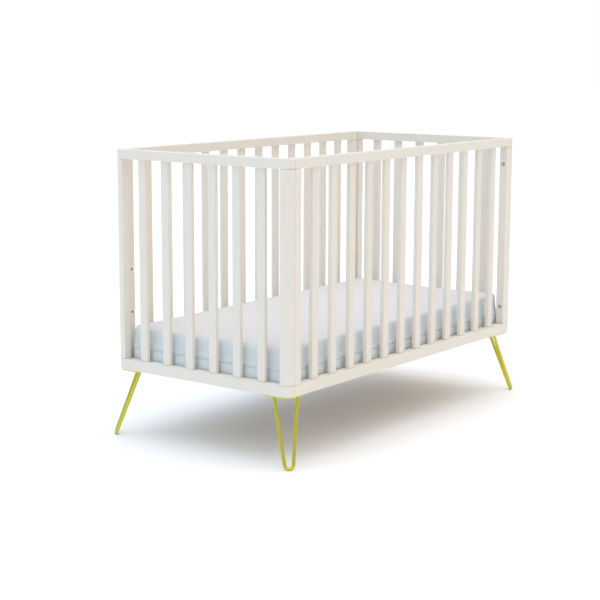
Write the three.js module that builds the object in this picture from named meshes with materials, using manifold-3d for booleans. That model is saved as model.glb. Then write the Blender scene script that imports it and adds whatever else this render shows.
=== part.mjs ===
// A slatted baby cot: two end panels, two long sides, four hairpin legs, a base that bolts on at
// three heights, and a loose mattress. Millimetres, +Z up. The origin is on the floor under the
// middle of the cot. +X runs from the head end to the foot end, and the front is at -Y.
import * as THREE from 'three';
import { mergeVertices } from 'three/addons/utils/BufferGeometryUtils.js';
import Module from 'manifold-3d';

const wasm = await Module();
wasm.setup();

// Driving dimensions: the space inside, and the heights
const INSIDE_LENGTH = 1198;
const INSIDE_WIDTH = 596;
const BODY_HEIGHT = 660;
const LEG_HEIGHT = 203;

// Panels
const PANEL_THICKNESS = 28;
const TOP_RAIL_HEIGHT = 28;
const BOTTOM_RAIL_HEIGHT = 33;
const RAIL_EDGE = 2;
const END_POST_WIDTH = 34;
const SIDE_POST_WIDTH = 27;
const CORNER_STEPS = 6;

// Slats and their tenons
const SIDE_SLATS = 12;
const END_SLATS = 6;
const SIDE_FIRST_GAP = 62;
const END_FIRST_GAP = 57;
const SLAT_WIDTH = 28;
const SLAT_THICKNESS = 14;
const SLAT_ROUNDING = 3;
const SHOULDER = 2;
const TENON_LENGTH = 10;

// Panel bolts and base bolts
const BOLT_HOLE = 7;
const BOLT_HEAD_HOLE = 13;
const BOLT_HEAD_DEPTH = 5;
const BOLT_REACH = 16;
const BOLT_FROM_RAIL = 58;
const BASE_STEPS = [150, 280];
const INSERT_DEPTH = 14;

// Hairpin legs
const ROD = 10;
const BEND_RADIUS = 13;
const BEND_STEPS = 8;
const ROD_SPREAD = 68;
const LEG_INSET = 49;
const FOOT_OUTSET = 4;
const FOOT_FLAT = 0.5;
const PLATE_THICKNESS = 3;
const PLATE_SETBACK = 3;
const PLATE_REACH = 86;
const PLATE_ARM = 24;
const SCREW_HOLE = 5.5;
const SCREW_PLACES = [38, 74];

// Base and mattress
const ANGLE_HEIGHT = 28;
const ANGLE_FLANGE = 30;
const ANGLE_WALL = 2.5;
const ANGLE_LIFT = 3;
const ANGLE_BOLT_LIFT = 17;
const BASE_SIDE_GAP = 1;
const BASE_END_GAP = 3;
const BOARD_THICKNESS = 8;
const SLOT_ROWS = 3;
const SLOT_COLUMNS = 9;
const SLOT_WIDTH = 22;
const SLOT_MARGIN = 60;
const SLOT_BRIDGE = 44;
const MATTRESS_THICKNESS = 120;
const MATTRESS_SIDE_GAP = 4;
const MATTRESS_END_GAP = 2;
const MATTRESS_CORNER = 10;
const MATTRESS_EDGE = 8;

// Room between pieces that touch
const FIT = 0.3;
const PAST = 1;
const ROUND_SIDES = 12;

// Derived sizes
const LENGTH = INSIDE_LENGTH + 2 * PANEL_THICKNESS;
const WIDTH = INSIDE_WIDTH + 2 * PANEL_THICKNESS;
const HEIGHT = LEG_HEIGHT + BODY_HEIGHT;
const TOP_RAIL_Z = HEIGHT - TOP_RAIL_HEIGHT;
const POST_Z = LEG_HEIGHT + BOTTOM_RAIL_HEIGHT + FIT;
const POST_HEIGHT = TOP_RAIL_Z - FIT - POST_Z;
const SLAT_CENTRE = PANEL_THICKNESS / 2;
const ANGLE_Z = LEG_HEIGHT + ANGLE_LIFT;
const BOARD_Z = ANGLE_Z + ANGLE_WALL + FIT;
const MATTRESS_Z = BOARD_Z + BOARD_THICKNESS + FIT;
const BASE_BOLT_Z = ANGLE_Z + ANGLE_BOLT_LIFT;
const BASE_BOLT_X = (INSIDE_LENGTH - SIDE_POST_WIDTH) / 2;
const PANEL_BOLT_Z = [POST_Z + BOLT_FROM_RAIL, POST_Z + POST_HEIGHT - BOLT_FROM_RAIL];

// Materials
function paintedWood() {
  return new THREE.MeshStandardMaterial({ color: 0xf0ece4, roughness: 0.42, metalness: 0 });
}

function brassPaintedSteel() {
  return new THREE.MeshStandardMaterial({ color: 0xb9a436, roughness: 0.3, metalness: 0.9 });
}

function whiteCoatedSteel() {
  return new THREE.MeshStandardMaterial({ color: 0xd8d8d4, roughness: 0.4, metalness: 0 });
}

function birchPlywood() {
  return new THREE.MeshStandardMaterial({ color: 0xd9bf94, roughness: 0.7, metalness: 0 });
}

function mattressCotton() {
  return new THREE.MeshStandardMaterial({ color: 0xe6e6ea, roughness: 0.9, metalness: 0 });
}

// Solids for cutting and joining
function toSolid(geometry) {
  const bare = geometry.clone();
  bare.deleteAttribute('normal');
  bare.deleteAttribute('uv');
  const merged = mergeVertices(bare, 1e-4);
  const vertProperties = new Float32Array(merged.attributes.position.array);
  const triVerts = new Uint32Array(merged.index.array);
  return new wasm.Manifold(new wasm.Mesh({ numProp: 3, vertProperties, triVerts }));
}

function toGeometry(solid) {
  const mesh = solid.getMesh();
  const geometry = new THREE.BufferGeometry();
  geometry.setAttribute('position', new THREE.BufferAttribute(mesh.vertProperties, 3));
  geometry.setIndex(new THREE.BufferAttribute(mesh.triVerts, 1));
  geometry.computeVertexNormals();
  return geometry;
}

function cut(geometry, tools) {
  return toGeometry(tools.reduce((solid, tool) => solid.subtract(toSolid(tool)), toSolid(geometry)));
}

function join(geometries) {
  return toGeometry(geometries.map(toSolid).reduce((solid, other) => solid.add(other)));
}

// Basic shapes. Each is centred on X and Y and stands on z = 0 unless it is moved.
function block(x, y, z) {
  return new THREE.BoxGeometry(x, y, z).translate(0, 0, z / 2);
}

function roundedRectangle(x, y, radius) {
  const shape = new THREE.Shape();
  const a = x / 2 - radius;
  const b = y / 2 - radius;
  shape.absarc(a, b, radius, 0, Math.PI / 2, false);
  shape.absarc(-a, b, radius, Math.PI / 2, Math.PI, false);
  shape.absarc(-a, -b, radius, Math.PI, Math.PI * 1.5, false);
  shape.absarc(a, -b, radius, Math.PI * 1.5, Math.PI * 2, false);
  return shape;
}

function upright(shape, height, curveSegments, bevel = 0) {
  return new THREE.ExtrudeGeometry(shape, {
    depth: height - 2 * bevel,
    curveSegments,
    bevelEnabled: bevel > 0,
    bevelThickness: bevel,
    bevelSize: bevel,
    bevelOffset: -bevel,
    bevelSegments: 1,
  }).translate(0, 0, bevel);
}

// A drill along X, Y or Z, from a point and in the direction of the axis.
function drill(diameter, length, axis, x, y, z) {
  const tool = new THREE.CylinderGeometry(diameter / 2, diameter / 2, length, ROUND_SIDES);
  tool.translate(0, length / 2, 0);
  if (axis === 'x') tool.rotateZ(-Math.PI / 2);
  if (axis === 'z') tool.rotateX(Math.PI / 2);
  return tool.translate(x, y, z);
}

// Slats between two posts, with a gap of its own beside each post and equal gaps between the rest
function slatPlaces(clear, count, firstGap) {
  const first = -clear / 2 + firstGap + SLAT_WIDTH / 2;
  const pitch = (-2 * first) / (count - 1);
  return Array.from({ length: count }, (_, i) => first + i * pitch);
}

const SIDE_PLACES = slatPlaces(INSIDE_LENGTH - 2 * SIDE_POST_WIDTH, SIDE_SLATS, SIDE_FIRST_GAP);
const END_PLACES = slatPlaces(WIDTH - 2 * END_POST_WIDTH, END_SLATS, END_FIRST_GAP);

// A slat: a rounded stave with a shouldered tenon at each end. Its width runs along X.
function slatGeometry() {
  const stave = upright(roundedRectangle(SLAT_WIDTH, SLAT_THICKNESS, SLAT_ROUNDING), POST_HEIGHT, 2);
  const tenonSize = [SLAT_WIDTH - 2 * SHOULDER - SLAT_ROUNDING, SLAT_THICKNESS - 2 * SHOULDER];
  const tenon = block(...tenonSize, POST_HEIGHT + 2 * TENON_LENGTH).translate(0, 0, -TENON_LENGTH);
  return join([stave, tenon]);
}

// The mortises for a row of slats, cut from the rail face at height z, upwards or downwards
function mortises(places, z, up) {
  const depth = TENON_LENGTH + FIT;
  const x = SLAT_WIDTH - 2 * SHOULDER - SLAT_ROUNDING + 2 * FIT;
  const y = SLAT_THICKNESS - 2 * SHOULDER + 2 * FIT;
  const bottom = up ? z - PAST : z - depth;
  return places.map((place) => block(x, y, depth + PAST).translate(place, 0, bottom));
}

// Long side, built at y = 0 for its middle plane, with its length along X
function sideRail(height, mortiseAtTop) {
  const section = roundedRectangle(PANEL_THICKNESS, height, RAIL_EDGE);
  const length = INSIDE_LENGTH - 2 * FIT;
  const rail = new THREE.ExtrudeGeometry(section, { depth: length, curveSegments: 1, bevelEnabled: false });
  const alongX = new THREE.Matrix4().set(0, 0, 1, -length / 2, 1, 0, 0, 0, 0, 1, 0, height / 2, 0, 0, 0, 1);
  rail.applyMatrix4(alongX);
  return cut(rail, mortises(SIDE_PLACES, mortiseAtTop ? height : 0, !mortiseAtTop));
}

// The bottom rail takes the base bolts at their lowest height, from the inside face.
function sideBottomRail() {
  const z = BASE_BOLT_Z - LEG_HEIGHT;
  const inner = PANEL_THICKNESS / 2 - INSERT_DEPTH;
  const length = INSERT_DEPTH + PAST;
  const inserts = [-BASE_BOLT_X, BASE_BOLT_X].map((x) => drill(BOLT_HOLE, length, 'y', x, inner, z));
  return cut(sideRail(BOTTOM_RAIL_HEIGHT, true), inserts);
}

// A long side's post, with its slats to the +X. Panel bolts pass through it along X, their heads
// sunk in the face beside the slats, and it has the inserts for the two upper base heights.
function sidePost() {
  const post = block(SIDE_POST_WIDTH, PANEL_THICKNESS, POST_HEIGHT);
  const face = SIDE_POST_WIDTH / 2;
  const bolts = PANEL_BOLT_Z.flatMap((z) => [
    drill(BOLT_HOLE, SIDE_POST_WIDTH + 2 * PAST, 'x', -face - PAST, 0, z - POST_Z),
    drill(BOLT_HEAD_HOLE, BOLT_HEAD_DEPTH + PAST, 'x', face - BOLT_HEAD_DEPTH, 0, z - POST_Z),
  ]);
  const inner = PANEL_THICKNESS / 2 - INSERT_DEPTH;
  const inserts = BASE_STEPS.map((step) =>
    drill(BOLT_HOLE, INSERT_DEPTH + PAST, 'y', 0, inner, BASE_BOLT_Z + step - POST_Z));
  return cut(post, [...bolts, ...inserts]);
}

// End panel, built for the head end with its outer sharp corner line at x = 0 and y = 0 in the
// middle. The full quarter-round takes up the panel's whole thickness at both corners.
function endOutline(from, to) {
  const half = WIDTH / 2;
  const t = PANEL_THICKNESS;
  const shape = new THREE.Shape();
  if (from === -half) shape.absarc(t, -half + t, t, Math.PI * 1.5, Math.PI, true);
  else shape.moveTo(t, from).lineTo(0, from);
  if (to === half) shape.absarc(t, half - t, t, Math.PI, Math.PI / 2, true);
  else shape.lineTo(0, to).lineTo(t, to);
  return shape;
}

function endRail(height, mortiseAtTop) {
  const rail = upright(endOutline(-WIDTH / 2, WIDTH / 2), height, CORNER_STEPS, RAIL_EDGE);
  const tools = mortises(END_PLACES, mortiseAtTop ? height : 0, !mortiseAtTop);
  return cut(rail, tools.map((tool) => tool.rotateZ(Math.PI / 2).translate(SLAT_CENTRE, 0, 0)));
}

// An end panel's post, at the -Y corner if sideways is -1 and at the +Y corner if it is 1. It
// takes the panel bolts from its inside face.
function endPost(sideways) {
  const half = WIDTH / 2;
  const slatSide = half - END_POST_WIDTH;
  const outline = sideways < 0 ? endOutline(-half, -slatSide) : endOutline(slatSide, half);
  const post = upright(outline, POST_HEIGHT, CORNER_STEPS);
  const y = sideways * (half - PANEL_THICKNESS / 2);
  const x = PANEL_THICKNESS - BOLT_REACH;
  return cut(post, PANEL_BOLT_Z.map((z) => drill(BOLT_HOLE, BOLT_REACH + PAST, 'x', x, y, z - POST_Z)));
}

// Hairpin leg: one rod from the plate down, round a tight bend and up again, in a plane that
// leans out along the corner's diagonal. Points are spaced by hand: one step for each straight
// stretch and BEND_STEPS round the bend.
class Hairpin extends THREE.Curve {
  constructor(foot, head, spread, radius) {
    super();
    this.foot = foot;
    this.up = head.clone().sub(foot);
    this.rise = this.up.length();
    this.up.normalize();
    this.across = new THREE.Vector3(1, -1, 0).normalize();
    this.half = spread / 2;
    this.radius = radius;
    const far = Math.hypot(this.half, this.rise - radius);
    this.turn = Math.atan2(this.rise - radius, this.half) - Math.acos(radius / far);
  }

  at(sideways, upwards) {
    return this.foot.clone().addScaledVector(this.across, sideways).addScaledVector(this.up, upwards);
  }

  onBend(angle) {
    return this.at(this.radius * Math.cos(angle), this.radius + this.radius * Math.sin(angle));
  }

  getUtoTmapping(u) {
    return u;
  }

  getPoint(t) {
    const step = t * (BEND_STEPS + 2);
    const start = this.turn;
    const end = -Math.PI - this.turn;
    if (step < 1) return this.at(this.half, this.rise).lerp(this.onBend(start), Math.max(step, 0));
    if (step > BEND_STEPS + 1) {
      return this.onBend(end).lerp(this.at(-this.half, this.rise), Math.min(step - BEND_STEPS - 1, 1));
    }
    return this.onBend(start + ((end - start) * (step - 1)) / BEND_STEPS);
  }
}

// The plate follows the corner under the two bottom rails, with an arm along each.
function legPlate() {
  const t = PANEL_THICKNESS;
  const arm = PLATE_SETBACK + PLATE_ARM;
  const shape = new THREE.Shape();
  shape.absarc(t, t, t - PLATE_SETBACK, Math.PI, Math.PI * 1.5, false);
  shape.lineTo(PLATE_REACH, PLATE_SETBACK).lineTo(PLATE_REACH, arm);
  shape.lineTo(arm, PLATE_REACH).lineTo(PLATE_SETBACK, PLATE_REACH);
  const bottom = LEG_HEIGHT - FIT - PLATE_THICKNESS;
  const plate = upright(shape, PLATE_THICKNESS, CORNER_STEPS).translate(0, 0, bottom);
  const holes = SCREW_PLACES.flatMap((place) => [[place, t / 2], [t / 2, place]]);
  const length = PLATE_THICKNESS + 2 * PAST;
  return cut(plate, holes.map(([x, y]) => drill(SCREW_HOLE, length, 'z', x, y, bottom - PAST)));
}

// One leg for the head-front corner, with the corner's sharp edge line at x = 0, y = 0
function legGeometry() {
  const top = LEG_HEIGHT - FIT;
  const foot = new THREE.Vector3(-FOOT_OUTSET, -FOOT_OUTSET, ROD / 2 - FOOT_FLAT);
  const head = new THREE.Vector3(LEG_INSET, LEG_INSET, top);
  const section = new THREE.Shape().absarc(0, 0, ROD / 2, 0, Math.PI * 2, false);
  const rod = new THREE.ExtrudeGeometry(section, {
    steps: BEND_STEPS + 2,
    curveSegments: ROUND_SIDES,
    extrudePath: new Hairpin(foot, head, ROD_SPREAD, BEND_RADIUS),
  });
  const wide = 4 * PLATE_REACH;
  const above = block(wide, wide, LEG_HEIGHT).translate(0, 0, top);
  const below = block(wide, wide, ROD).translate(0, 0, -ROD);
  return cut(join([rod, legPlate()]), [above, below]);
}

// Mattress base: a steel angle along each long side, its flange pointing in under the board. The
// upright leg lies against the side and takes the base bolts. Built for the front, from y = 0.
function angleGeometry() {
  const length = INSIDE_LENGTH - 2 * BASE_END_GAP;
  const wall = block(length, ANGLE_WALL, ANGLE_HEIGHT).translate(0, ANGLE_WALL / 2, 0);
  const flange = block(length, ANGLE_FLANGE, ANGLE_WALL).translate(0, ANGLE_FLANGE / 2, 0);
  const through = ANGLE_WALL + 2 * PAST;
  const places = [-BASE_BOLT_X, BASE_BOLT_X];
  const holes = places.map((x) => drill(BOLT_HOLE, through, 'y', x, -PAST, ANGLE_BOLT_LIFT));
  return cut(join([wall, flange]), holes);
}

function slotHole(x, y, length) {
  const path = new THREE.Path();
  const radius = SLOT_WIDTH / 2;
  const reach = length / 2 - radius;
  path.absarc(x, y + reach, radius, 0, Math.PI, false);
  path.absarc(x, y - reach, radius, Math.PI, Math.PI * 2, false);
  return path.closePath();
}

function boardGeometry() {
  const length = INSIDE_LENGTH - 2 * BASE_END_GAP;
  const width = INSIDE_WIDTH - 2 * (BASE_SIDE_GAP + ANGLE_WALL + FIT);
  const shape = new THREE.Shape();
  shape.moveTo(-length / 2, -width / 2).lineTo(length / 2, -width / 2);
  shape.lineTo(length / 2, width / 2).lineTo(-length / 2, width / 2);
  const columnStep = (length - 2 * SLOT_MARGIN - SLOT_WIDTH) / (SLOT_COLUMNS - 1);
  const slot = (width - 2 * SLOT_MARGIN - (SLOT_ROWS - 1) * SLOT_BRIDGE) / SLOT_ROWS;
  for (let row = 0; row < SLOT_ROWS; row += 1) {
    const y = (row - (SLOT_ROWS - 1) / 2) * (slot + SLOT_BRIDGE);
    for (let column = 0; column < SLOT_COLUMNS; column += 1) {
      const x = (column - (SLOT_COLUMNS - 1) / 2) * columnStep;
      shape.holes.push(slotHole(x, y, slot));
    }
  }
  return upright(shape, BOARD_THICKNESS, 3);
}

function mattressGeometry() {
  const length = INSIDE_LENGTH - 2 * MATTRESS_END_GAP;
  const width = INSIDE_WIDTH - 2 * MATTRESS_SIDE_GAP;
  return upright(roundedRectangle(length, width, MATTRESS_CORNER), MATTRESS_THICKNESS, 4, MATTRESS_EDGE);
}

// Assembly
const cot = new THREE.Group();

function place(parent, name, geometry, material, x, y, z, turn = 0) {
  const mesh = new THREE.Mesh(geometry, material());
  mesh.name = name;
  mesh.position.set(x, y, z);
  mesh.rotation.z = turn;
  parent.add(mesh);
}

// A long side, built for the front. The back is the same panel turned half round.
function addSide(name, turn, ends) {
  const panel = new THREE.Group();
  const y = -(INSIDE_WIDTH + PANEL_THICKNESS) / 2;
  const number = (i) => String(turn === 0 ? i + 1 : SIDE_SLATS - i).padStart(2, '0');
  place(panel, `${name}_top_rail`, sideRail(TOP_RAIL_HEIGHT, false), paintedWood, 0, y, TOP_RAIL_Z);
  place(panel, `${name}_bottom_rail`, sideBottomRail(), paintedWood, 0, y, LEG_HEIGHT);
  const post = BASE_BOLT_X - FIT;
  place(panel, `${name}_post_${ends[0]}`, sidePost(), paintedWood, -post, y, POST_Z);
  const mirrored = sidePost().applyMatrix4(new THREE.Matrix4().makeScale(-1, 1, 1));
  mirrored.index.array.reverse();
  place(panel, `${name}_post_${ends[1]}`, mirrored, paintedWood, post, y, POST_Z);
  SIDE_PLACES.forEach((x, i) => {
    place(panel, `${name}_slat_${number(i)}`, slatGeometry(), paintedWood, x, y, POST_Z);
  });
  panel.rotation.z = turn;
  cot.add(panel);
}

// An end panel, built for the head end. The foot end is the same panel turned half round.
function addEnd(name, turn, sides) {
  const panel = new THREE.Group();
  const x = -LENGTH / 2;
  const number = (i) => (turn === 0 ? i + 1 : END_SLATS - i);
  place(panel, `${name}_top_rail`, endRail(TOP_RAIL_HEIGHT, false), paintedWood, x, 0, TOP_RAIL_Z);
  place(panel, `${name}_bottom_rail`, endRail(BOTTOM_RAIL_HEIGHT, true), paintedWood, x, 0, LEG_HEIGHT);
  place(panel, `${name}_post_${sides[0]}`, endPost(-1), paintedWood, x, 0, POST_Z);
  place(panel, `${name}_post_${sides[1]}`, endPost(1), paintedWood, x, 0, POST_Z);
  const middle = x + SLAT_CENTRE;
  const turned = Math.PI / 2;
  END_PLACES.forEach((y, i) => {
    place(panel, `${name}_slat_${number(i)}`, slatGeometry(), paintedWood, middle, y, POST_Z, turned);
  });
  panel.rotation.z = turn;
  cot.add(panel);
}

function addLegs() {
  const corners = [
    ['leg_head_front', -1, -1, 0],
    ['leg_foot_front', 1, -1, Math.PI / 2],
    ['leg_foot_back', 1, 1, Math.PI],
    ['leg_head_back', -1, 1, -Math.PI / 2],
  ];
  for (const [name, x, y, turn] of corners) {
    place(cot, name, legGeometry(), brassPaintedSteel, (x * LENGTH) / 2, (y * WIDTH) / 2, 0, turn);
  }
}

function addBase() {
  const y = INSIDE_WIDTH / 2 - BASE_SIDE_GAP;
  place(cot, 'base_angle_front', angleGeometry(), whiteCoatedSteel, 0, -y, ANGLE_Z);
  place(cot, 'base_angle_back', angleGeometry(), whiteCoatedSteel, 0, y, ANGLE_Z, Math.PI);
  place(cot, 'base_board', boardGeometry(), birchPlywood, 0, 0, BOARD_Z);
}

addEnd('head', 0, ['front', 'back']);
addEnd('foot', Math.PI, ['back', 'front']);
addSide('front', 0, ['head', 'foot']);
addSide('back', Math.PI, ['foot', 'head']);
addLegs();
addBase();
place(cot, 'mattress', mattressGeometry(), mattressCotton, 0, 0, MATTRESS_Z);

export default cot;
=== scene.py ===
import math

import bmesh
import bpy
from mathutils import Matrix, Vector
from mathutils.bvhtree import BVHTree


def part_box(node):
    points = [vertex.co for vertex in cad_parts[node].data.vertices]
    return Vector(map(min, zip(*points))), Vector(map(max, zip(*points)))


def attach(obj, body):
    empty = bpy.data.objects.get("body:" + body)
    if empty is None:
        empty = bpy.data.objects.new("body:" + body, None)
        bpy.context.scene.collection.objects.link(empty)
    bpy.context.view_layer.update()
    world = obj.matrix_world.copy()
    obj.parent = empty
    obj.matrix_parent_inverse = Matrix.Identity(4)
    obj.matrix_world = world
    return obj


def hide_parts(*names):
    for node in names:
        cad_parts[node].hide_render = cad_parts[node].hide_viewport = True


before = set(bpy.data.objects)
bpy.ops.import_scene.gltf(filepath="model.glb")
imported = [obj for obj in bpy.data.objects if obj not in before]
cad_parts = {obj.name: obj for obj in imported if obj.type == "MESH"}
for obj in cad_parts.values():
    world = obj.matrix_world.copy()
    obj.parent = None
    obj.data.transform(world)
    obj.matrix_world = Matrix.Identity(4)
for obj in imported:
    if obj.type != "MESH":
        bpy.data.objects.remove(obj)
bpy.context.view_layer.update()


# ---------------------------------------------------------------- End panels: rails
# Each end panel has a painted beech rail at the top and one at the bottom. Their outer corners
# are quarter-rounds as deep as the rail is thick, and their edges are eased. Each rail has a
# mortise for every slat, into which the slat's tenon is glued.
RAIL_EDGE = 0.002
EDGE_STEPS = 3
ARC_STEPS = 14
SHARP = math.radians(30)
SLAT_ROUNDING = 0.003
SLAT_ARC_STEPS = 5
TENON_SHOULDER = 0.002
MORTISE_ROOM = 0.0003
PAINT = (0.82, 0.775, 0.70)
PAINT_THIN = (0.785, 0.73, 0.64)
PAINT_LIGHTER_EDGE = (0.85, 0.81, 0.74)


class Signal:
    """What one socket gives. Sums, differences and products of signals add Math nodes."""

    def __init__(self, tree, socket):
        self.tree = tree
        self.socket = socket

    def maths(self, operation, first, second=0.0):
        return self.tree.add("ShaderNodeMath", {"operation": operation}, {0: first, 1: second})

    def __add__(self, other):
        return self.maths("ADD", self, other)

    def __sub__(self, other):
        return self.maths("SUBTRACT", self, other)

    def __rsub__(self, other):
        return self.maths("SUBTRACT", other, self)

    def __mul__(self, other):
        return self.maths("MULTIPLY", self, other)

    def sine(self):
        return self.maths("SINE", self)

    __radd__ = __add__
    __rmul__ = __mul__


class Tree:
    """A node tree, filled one node at a time: a type, its settings, then its sockets."""

    def __init__(self, tree):
        self.tree = tree
        tree.nodes.clear()

    def add(self, kind, settings=(), sockets=(), output=0):
        node = self.tree.nodes.new(kind)
        for name, value in dict(settings).items():
            if name == "stops":
                self.set_stops(node.color_ramp, value)
            else:
                setattr(node, name, value)
        for name, value in dict(sockets).items():
            for single in value if isinstance(value, list) else [value]:
                if isinstance(single, Signal):
                    self.tree.links.new(single.socket, node.inputs[name])
                else:
                    node.inputs[name].default_value = single
        return Signal(self, node.outputs[output]) if node.outputs else node

    def mix(self, amount, first, second):
        """Goes from the first colour to the second as the amount goes from 0 to 1."""
        sockets = {0: amount, 6: opaque(first), 7: opaque(second)}
        return self.add("ShaderNodeMix", {"data_type": "RGBA"}, sockets, 2)

    def split(self, vector):
        """The X, Y and Z of a vector."""
        node = self.add("ShaderNodeSeparateXYZ", {}, {0: vector}).socket.node
        return [Signal(self, output) for output in node.outputs]

    def set_stops(self, ramp, stops):
        while len(ramp.elements) < len(stops):
            ramp.elements.new(1.0)
        for element, (place, level) in zip(ramp.elements, stops):
            element.position = place
            element.color = (level, level, level, 1.0)


class Finish(Tree):
    """A material whose surface is one Principled shader."""

    def __init__(self, name):
        self.material = bpy.data.materials.new(name)
        self.material.use_nodes = True
        super().__init__(self.material.node_tree)

    def place(self, scale=(1, 1, 1)):
        """Where a point is on the object, in metres, stretched by scale."""
        spot = self.add("ShaderNodeTexCoord", output="Object")
        return self.add("ShaderNodeMapping", {}, {"Vector": spot, "Scale": scale})

    def noise(self, vector, scale, detail=4.0, roughness=0.55):
        sockets = {"Vector": vector, "Scale": scale, "Detail": detail, "Roughness": roughness}
        return self.add("ShaderNodeTexNoise", {}, sockets)

    def ramp(self, signal, *stops):
        return self.add("ShaderNodeValToRGB", {"stops": stops}, {"Fac": signal})

    def edges(self, width):
        """About 0 on the flats, and rising to about 0.3 on the edges."""
        eased = self.add("ShaderNodeBevel", {"samples": 4}, {"Radius": width})
        facing = self.add("ShaderNodeNewGeometry", output="Normal")
        both = {0: eased, 1: facing}
        return 1.0 - self.add("ShaderNodeVectorMath", {"operation": "DOT_PRODUCT"}, both, "Value")

    def bump(self, height, distance, under=None):
        sockets = {"Height": height, "Distance": distance}
        if under:
            sockets["Normal"] = under
        return self.add("ShaderNodeBump", {}, sockets)

    def shade(self, tone, roughness, normal, **constants):
        """Ends the tree. A constant's name has _ for each space in its socket's name."""
        sockets = {name.replace("_", " "): value for name, value in constants.items()}
        sockets.update({"Base Color": tone, "Roughness": roughness, "Normal": normal})
        surface = self.add("ShaderNodeBsdfPrincipled", {}, sockets)
        self.add("ShaderNodeOutputMaterial", {}, {"Surface": surface})
        return self.material


def opaque(tone):
    return tone if isinstance(tone, Signal) else (*tone, 1.0)


def satin_paint(name, grain_axis):
    """Two sprayed coats of cream-white satin paint, through which the beech's grain just shows."""
    finish = Finish(name)
    stretch = tuple(0.04 if axis == grain_axis else 1.0 for axis in range(3))
    grain = finish.noise(finish.place(stretch), 340, 5, 0.62)
    pores = finish.ramp(grain, (0.34, 0.0), (0.46, 1.0))
    cloud = finish.noise(finish.place(), 7, 3)
    peel = finish.noise(finish.place(), 1100, 2)
    near_edges = finish.ramp(finish.edges(0.0025), (0.02, 0.0), (0.30, 1.0))
    batch = finish.add("ShaderNodeAttribute", {"attribute_name": "batch"}, output="Fac")
    tone = finish.mix(cloud * 0.6 + batch * 0.3, PAINT, PAINT_THIN)
    # The paint is a little lighter and glossier along the eased edges.
    tone = finish.mix(near_edges * 0.5, tone, PAINT_LIGHTER_EDGE)
    roughness = 0.36 + 0.14 * cloud - 0.08 * near_edges + 0.05 * (1.0 - pores)
    fine = finish.bump(peel, 0.00002)
    coarse = finish.bump(pores * 0.6 + grain * 0.4, 0.00008, fine)
    return finish.shade(tone, roughness, coarse, Coat_Weight=0.15, Coat_Roughness=0.25)


class Recipe(Tree):
    """A Geometry Nodes tree with named inputs. What it makes is realized and given its material."""

    def __init__(self, name, **inputs):
        super().__init__(bpy.data.node_groups.new(name, "GeometryNodeTree"))
        face = self.tree.interface
        self.keys = {}
        for label, kind in {"Geometry": "Geometry", **inputs, "Material": "Material"}.items():
            socket = face.new_socket(label, in_out="INPUT", socket_type="NodeSocket" + kind)
            self.keys[label] = socket.identifier
        face.new_socket("Geometry", in_out="OUTPUT", socket_type="NodeSocketGeometry")
        self.source = self.tree.nodes.new("NodeGroupInput")

    def given(self, label):
        return Signal(self, self.source.outputs[label])

    def upright(self, profile, low, high):
        """A profile swept straight up, with both ends closed."""
        ends = {"Start": self.point(low), "End": self.point(high)}
        path = self.add("GeometryNodeCurvePrimitiveLine", {}, ends)
        sockets = {"Curve": path, "Profile Curve": profile, "Fill Caps": True}
        return self.add("GeometryNodeCurveToMesh", {}, sockets)

    def point(self, height):
        return self.add("ShaderNodeCombineXYZ", {}, {"Z": height})

    def end(self, geometry):
        whole = self.add("GeometryNodeRealizeInstances", {}, {"Geometry": geometry})
        coated = {"Geometry": whole, "Material": self.given("Material")}
        self.add("NodeGroupOutput", {}, {"Geometry": self.add("GeometryNodeSetMaterial", {}, coated)})

    def make(self, name, carrier=None, **values):
        """Runs the tree on the carrier, an object that then holds what it makes as a plain mesh."""
        piece = carrier or solid(name, bmesh.new())
        modifier = piece.modifiers.new(name, "NODES")
        modifier.node_group = self.tree
        for label, value in values.items():
            modifier[self.keys[label]] = value
        settle(piece)
        return piece


def solid(name, shape):
    """Ends a bmesh as an object of that name, at the origin."""
    mesh = bpy.data.meshes.new(name)
    shape.to_mesh(mesh)
    shape.free()
    piece = bpy.data.objects.new(name, mesh)
    bpy.context.scene.collection.objects.link(piece)
    return piece


def settle(piece):
    """Turns what the piece's modifiers make into its plain mesh."""
    graph = bpy.context.evaluated_depsgraph_get()
    piece_now = piece.evaluated_get(graph)
    mesh = bpy.data.meshes.new_from_object(piece_now, preserve_all_data_layers=True, depsgraph=graph)
    piece.modifiers.clear()
    piece.data = mesh
    mesh.name = piece.name


def prism(name, outlines, low, high, edge, turn=Matrix(), steps=EDGE_STEPS):
    """Raises each outline from low to high, rounds the sharp edges, then turns the result."""
    shape = bmesh.new()
    for outline in outlines:
        bottom = [shape.verts.new((x, y, low)) for x, y in outline]
        top = [shape.verts.new((x, y, high)) for x, y in outline]
        shape.faces.new(bottom)
        shape.faces.new(top)
        for i in range(len(outline)):
            shape.faces.new((bottom[i - 1], bottom[i], top[i], top[i - 1]))
    bmesh.ops.recalc_face_normals(shape, faces=shape.faces)
    if edge:
        sharp = [side for side in shape.edges if side.calc_face_angle(0) > SHARP]
        bmesh.ops.bevel(shape, geom=sharp, offset=edge, segments=steps, profile=0.5,
                        affect="EDGES", clamp_overlap=True)
    bmesh.ops.transform(shape, matrix=turn, verts=shape.verts)
    return solid(name, shape)


def cut(pieces, tool):
    """Takes the tool's shape out of each piece, and puts the tool away."""
    for piece in pieces:
        modifier = piece.modifiers.new("cut", "BOOLEAN")
        modifier.operation = "DIFFERENCE"
        modifier.object = tool
        settle(piece)
    bpy.data.objects.remove(tool)


def install(piece, body, material, slot, *nodes):
    """Gives a finished piece its material and its body, and hides the CAD nodes that it stands for.
    """
    piece.data.materials.clear()
    piece.data.materials.append(material)
    piece.data.shade_smooth()
    piece.data.set_sharp_from_angle(angle=SHARP)
    shading = piece.modifiers.new("shading", "WEIGHTED_NORMAL")
    shading.keep_sharp = True
    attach(piece, body)
    if nodes:
        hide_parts(*nodes)


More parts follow.
